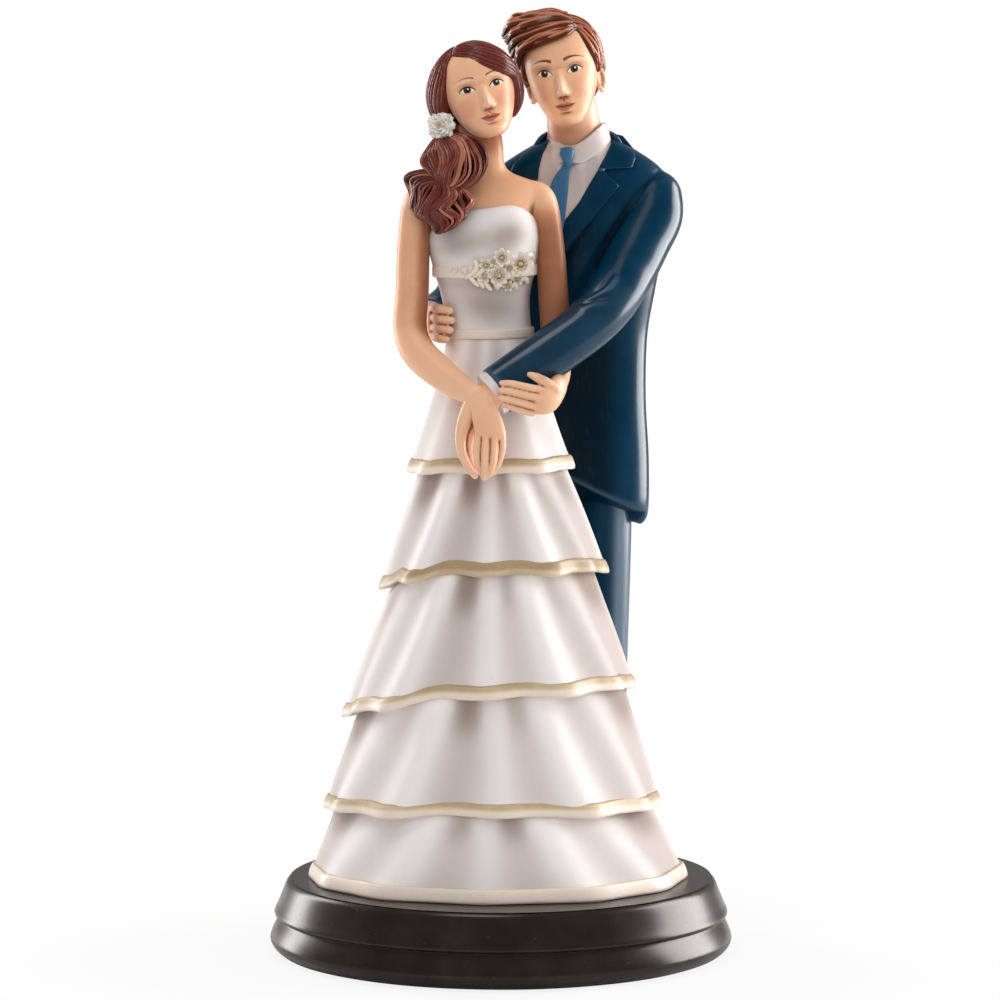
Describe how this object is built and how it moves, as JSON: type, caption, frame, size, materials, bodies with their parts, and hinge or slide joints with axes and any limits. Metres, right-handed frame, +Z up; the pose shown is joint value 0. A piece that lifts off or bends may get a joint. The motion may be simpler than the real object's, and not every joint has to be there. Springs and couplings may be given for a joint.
{
  "type": "wedding cake topper",
  "caption": "Standing bride and groom in painted cast resin, embracing on a round stepped plinth, to set on top of a wedding cake.",
  "frame": {"origin": "centre of the plinth's underside, on the felt pad's lower face", "axes": "+Z up, the couple faces -Y, and the bride's right hand is on the -X side"},
  "size_m": [0.0984, 0.0984, 0.2002],
  "materials": {
    "plinth": "satin near-black brown paint on cast resin",
    "felt": "black felt",
    "dress": "pearly off-white paint on cast resin",
    "band": "pearly cream-gold paint",
    "ribbon": "pearly cream paint",
    "ornament": "pearly cream paint with gold in the recesses",
    "skin": "satin skin paint with a brown shade in the recesses",
    "hair": "reddish-brown paint with a dark wash",
    "petal": "white paint",
    "shirt": "off-white paint",
    "tie": "mid-blue paint",
    "jacket": "glossy navy paint",
    "trousers": "glossy navy paint",
    "shoe": "glossy near-black paint"
  },
  "bodies": {
    "root": {"plinth": "plinth", "felt_pad": "felt", "bodice": "dress", "skirt_tier_1": "dress", "skirt_tier_2": "dress", "skirt_tier_3": "dress", "skirt_tier_4": "dress", "skirt_tier_5": "dress", "hem_band_1": "band", "hem_band_2": "band", "hem_band_3": "band", "hem_band_4": "band", "hem_band_5": "band", "waist_belt": "ribbon", "bust_sash": "ribbon", "sash_ornament": "ornament", "bride_shoulders": "skin", "bride_right_arm": "skin", "bride_left_arm": "skin", "bride_right_hand": "skin", "bride_left_hand": "skin", "bride_head": "skin", "groom_head": "skin", "groom_left_hand": "skin", "groom_right_hand": "skin", "bride_hair": "hair", "bride_ponytail": "hair", "bride_curls": "hair", "groom_hair": "hair", "hair_flower": "petal", "shirt_front": "shirt", "shirt_collar": "shirt", "left_cuff": "shirt", "right_cuff": "shirt", "tie": "tie", "jacket": "jacket", "left_lapel": "jacket", "right_lapel": "jacket", "left_sleeve": "jacket", "right_sleeve": "jacket", "left_trouser_leg": "trousers", "right_trouser_leg": "trousers", "left_shoe": "shoe", "right_shoe": "shoe"}
  },
  "joints": []
}
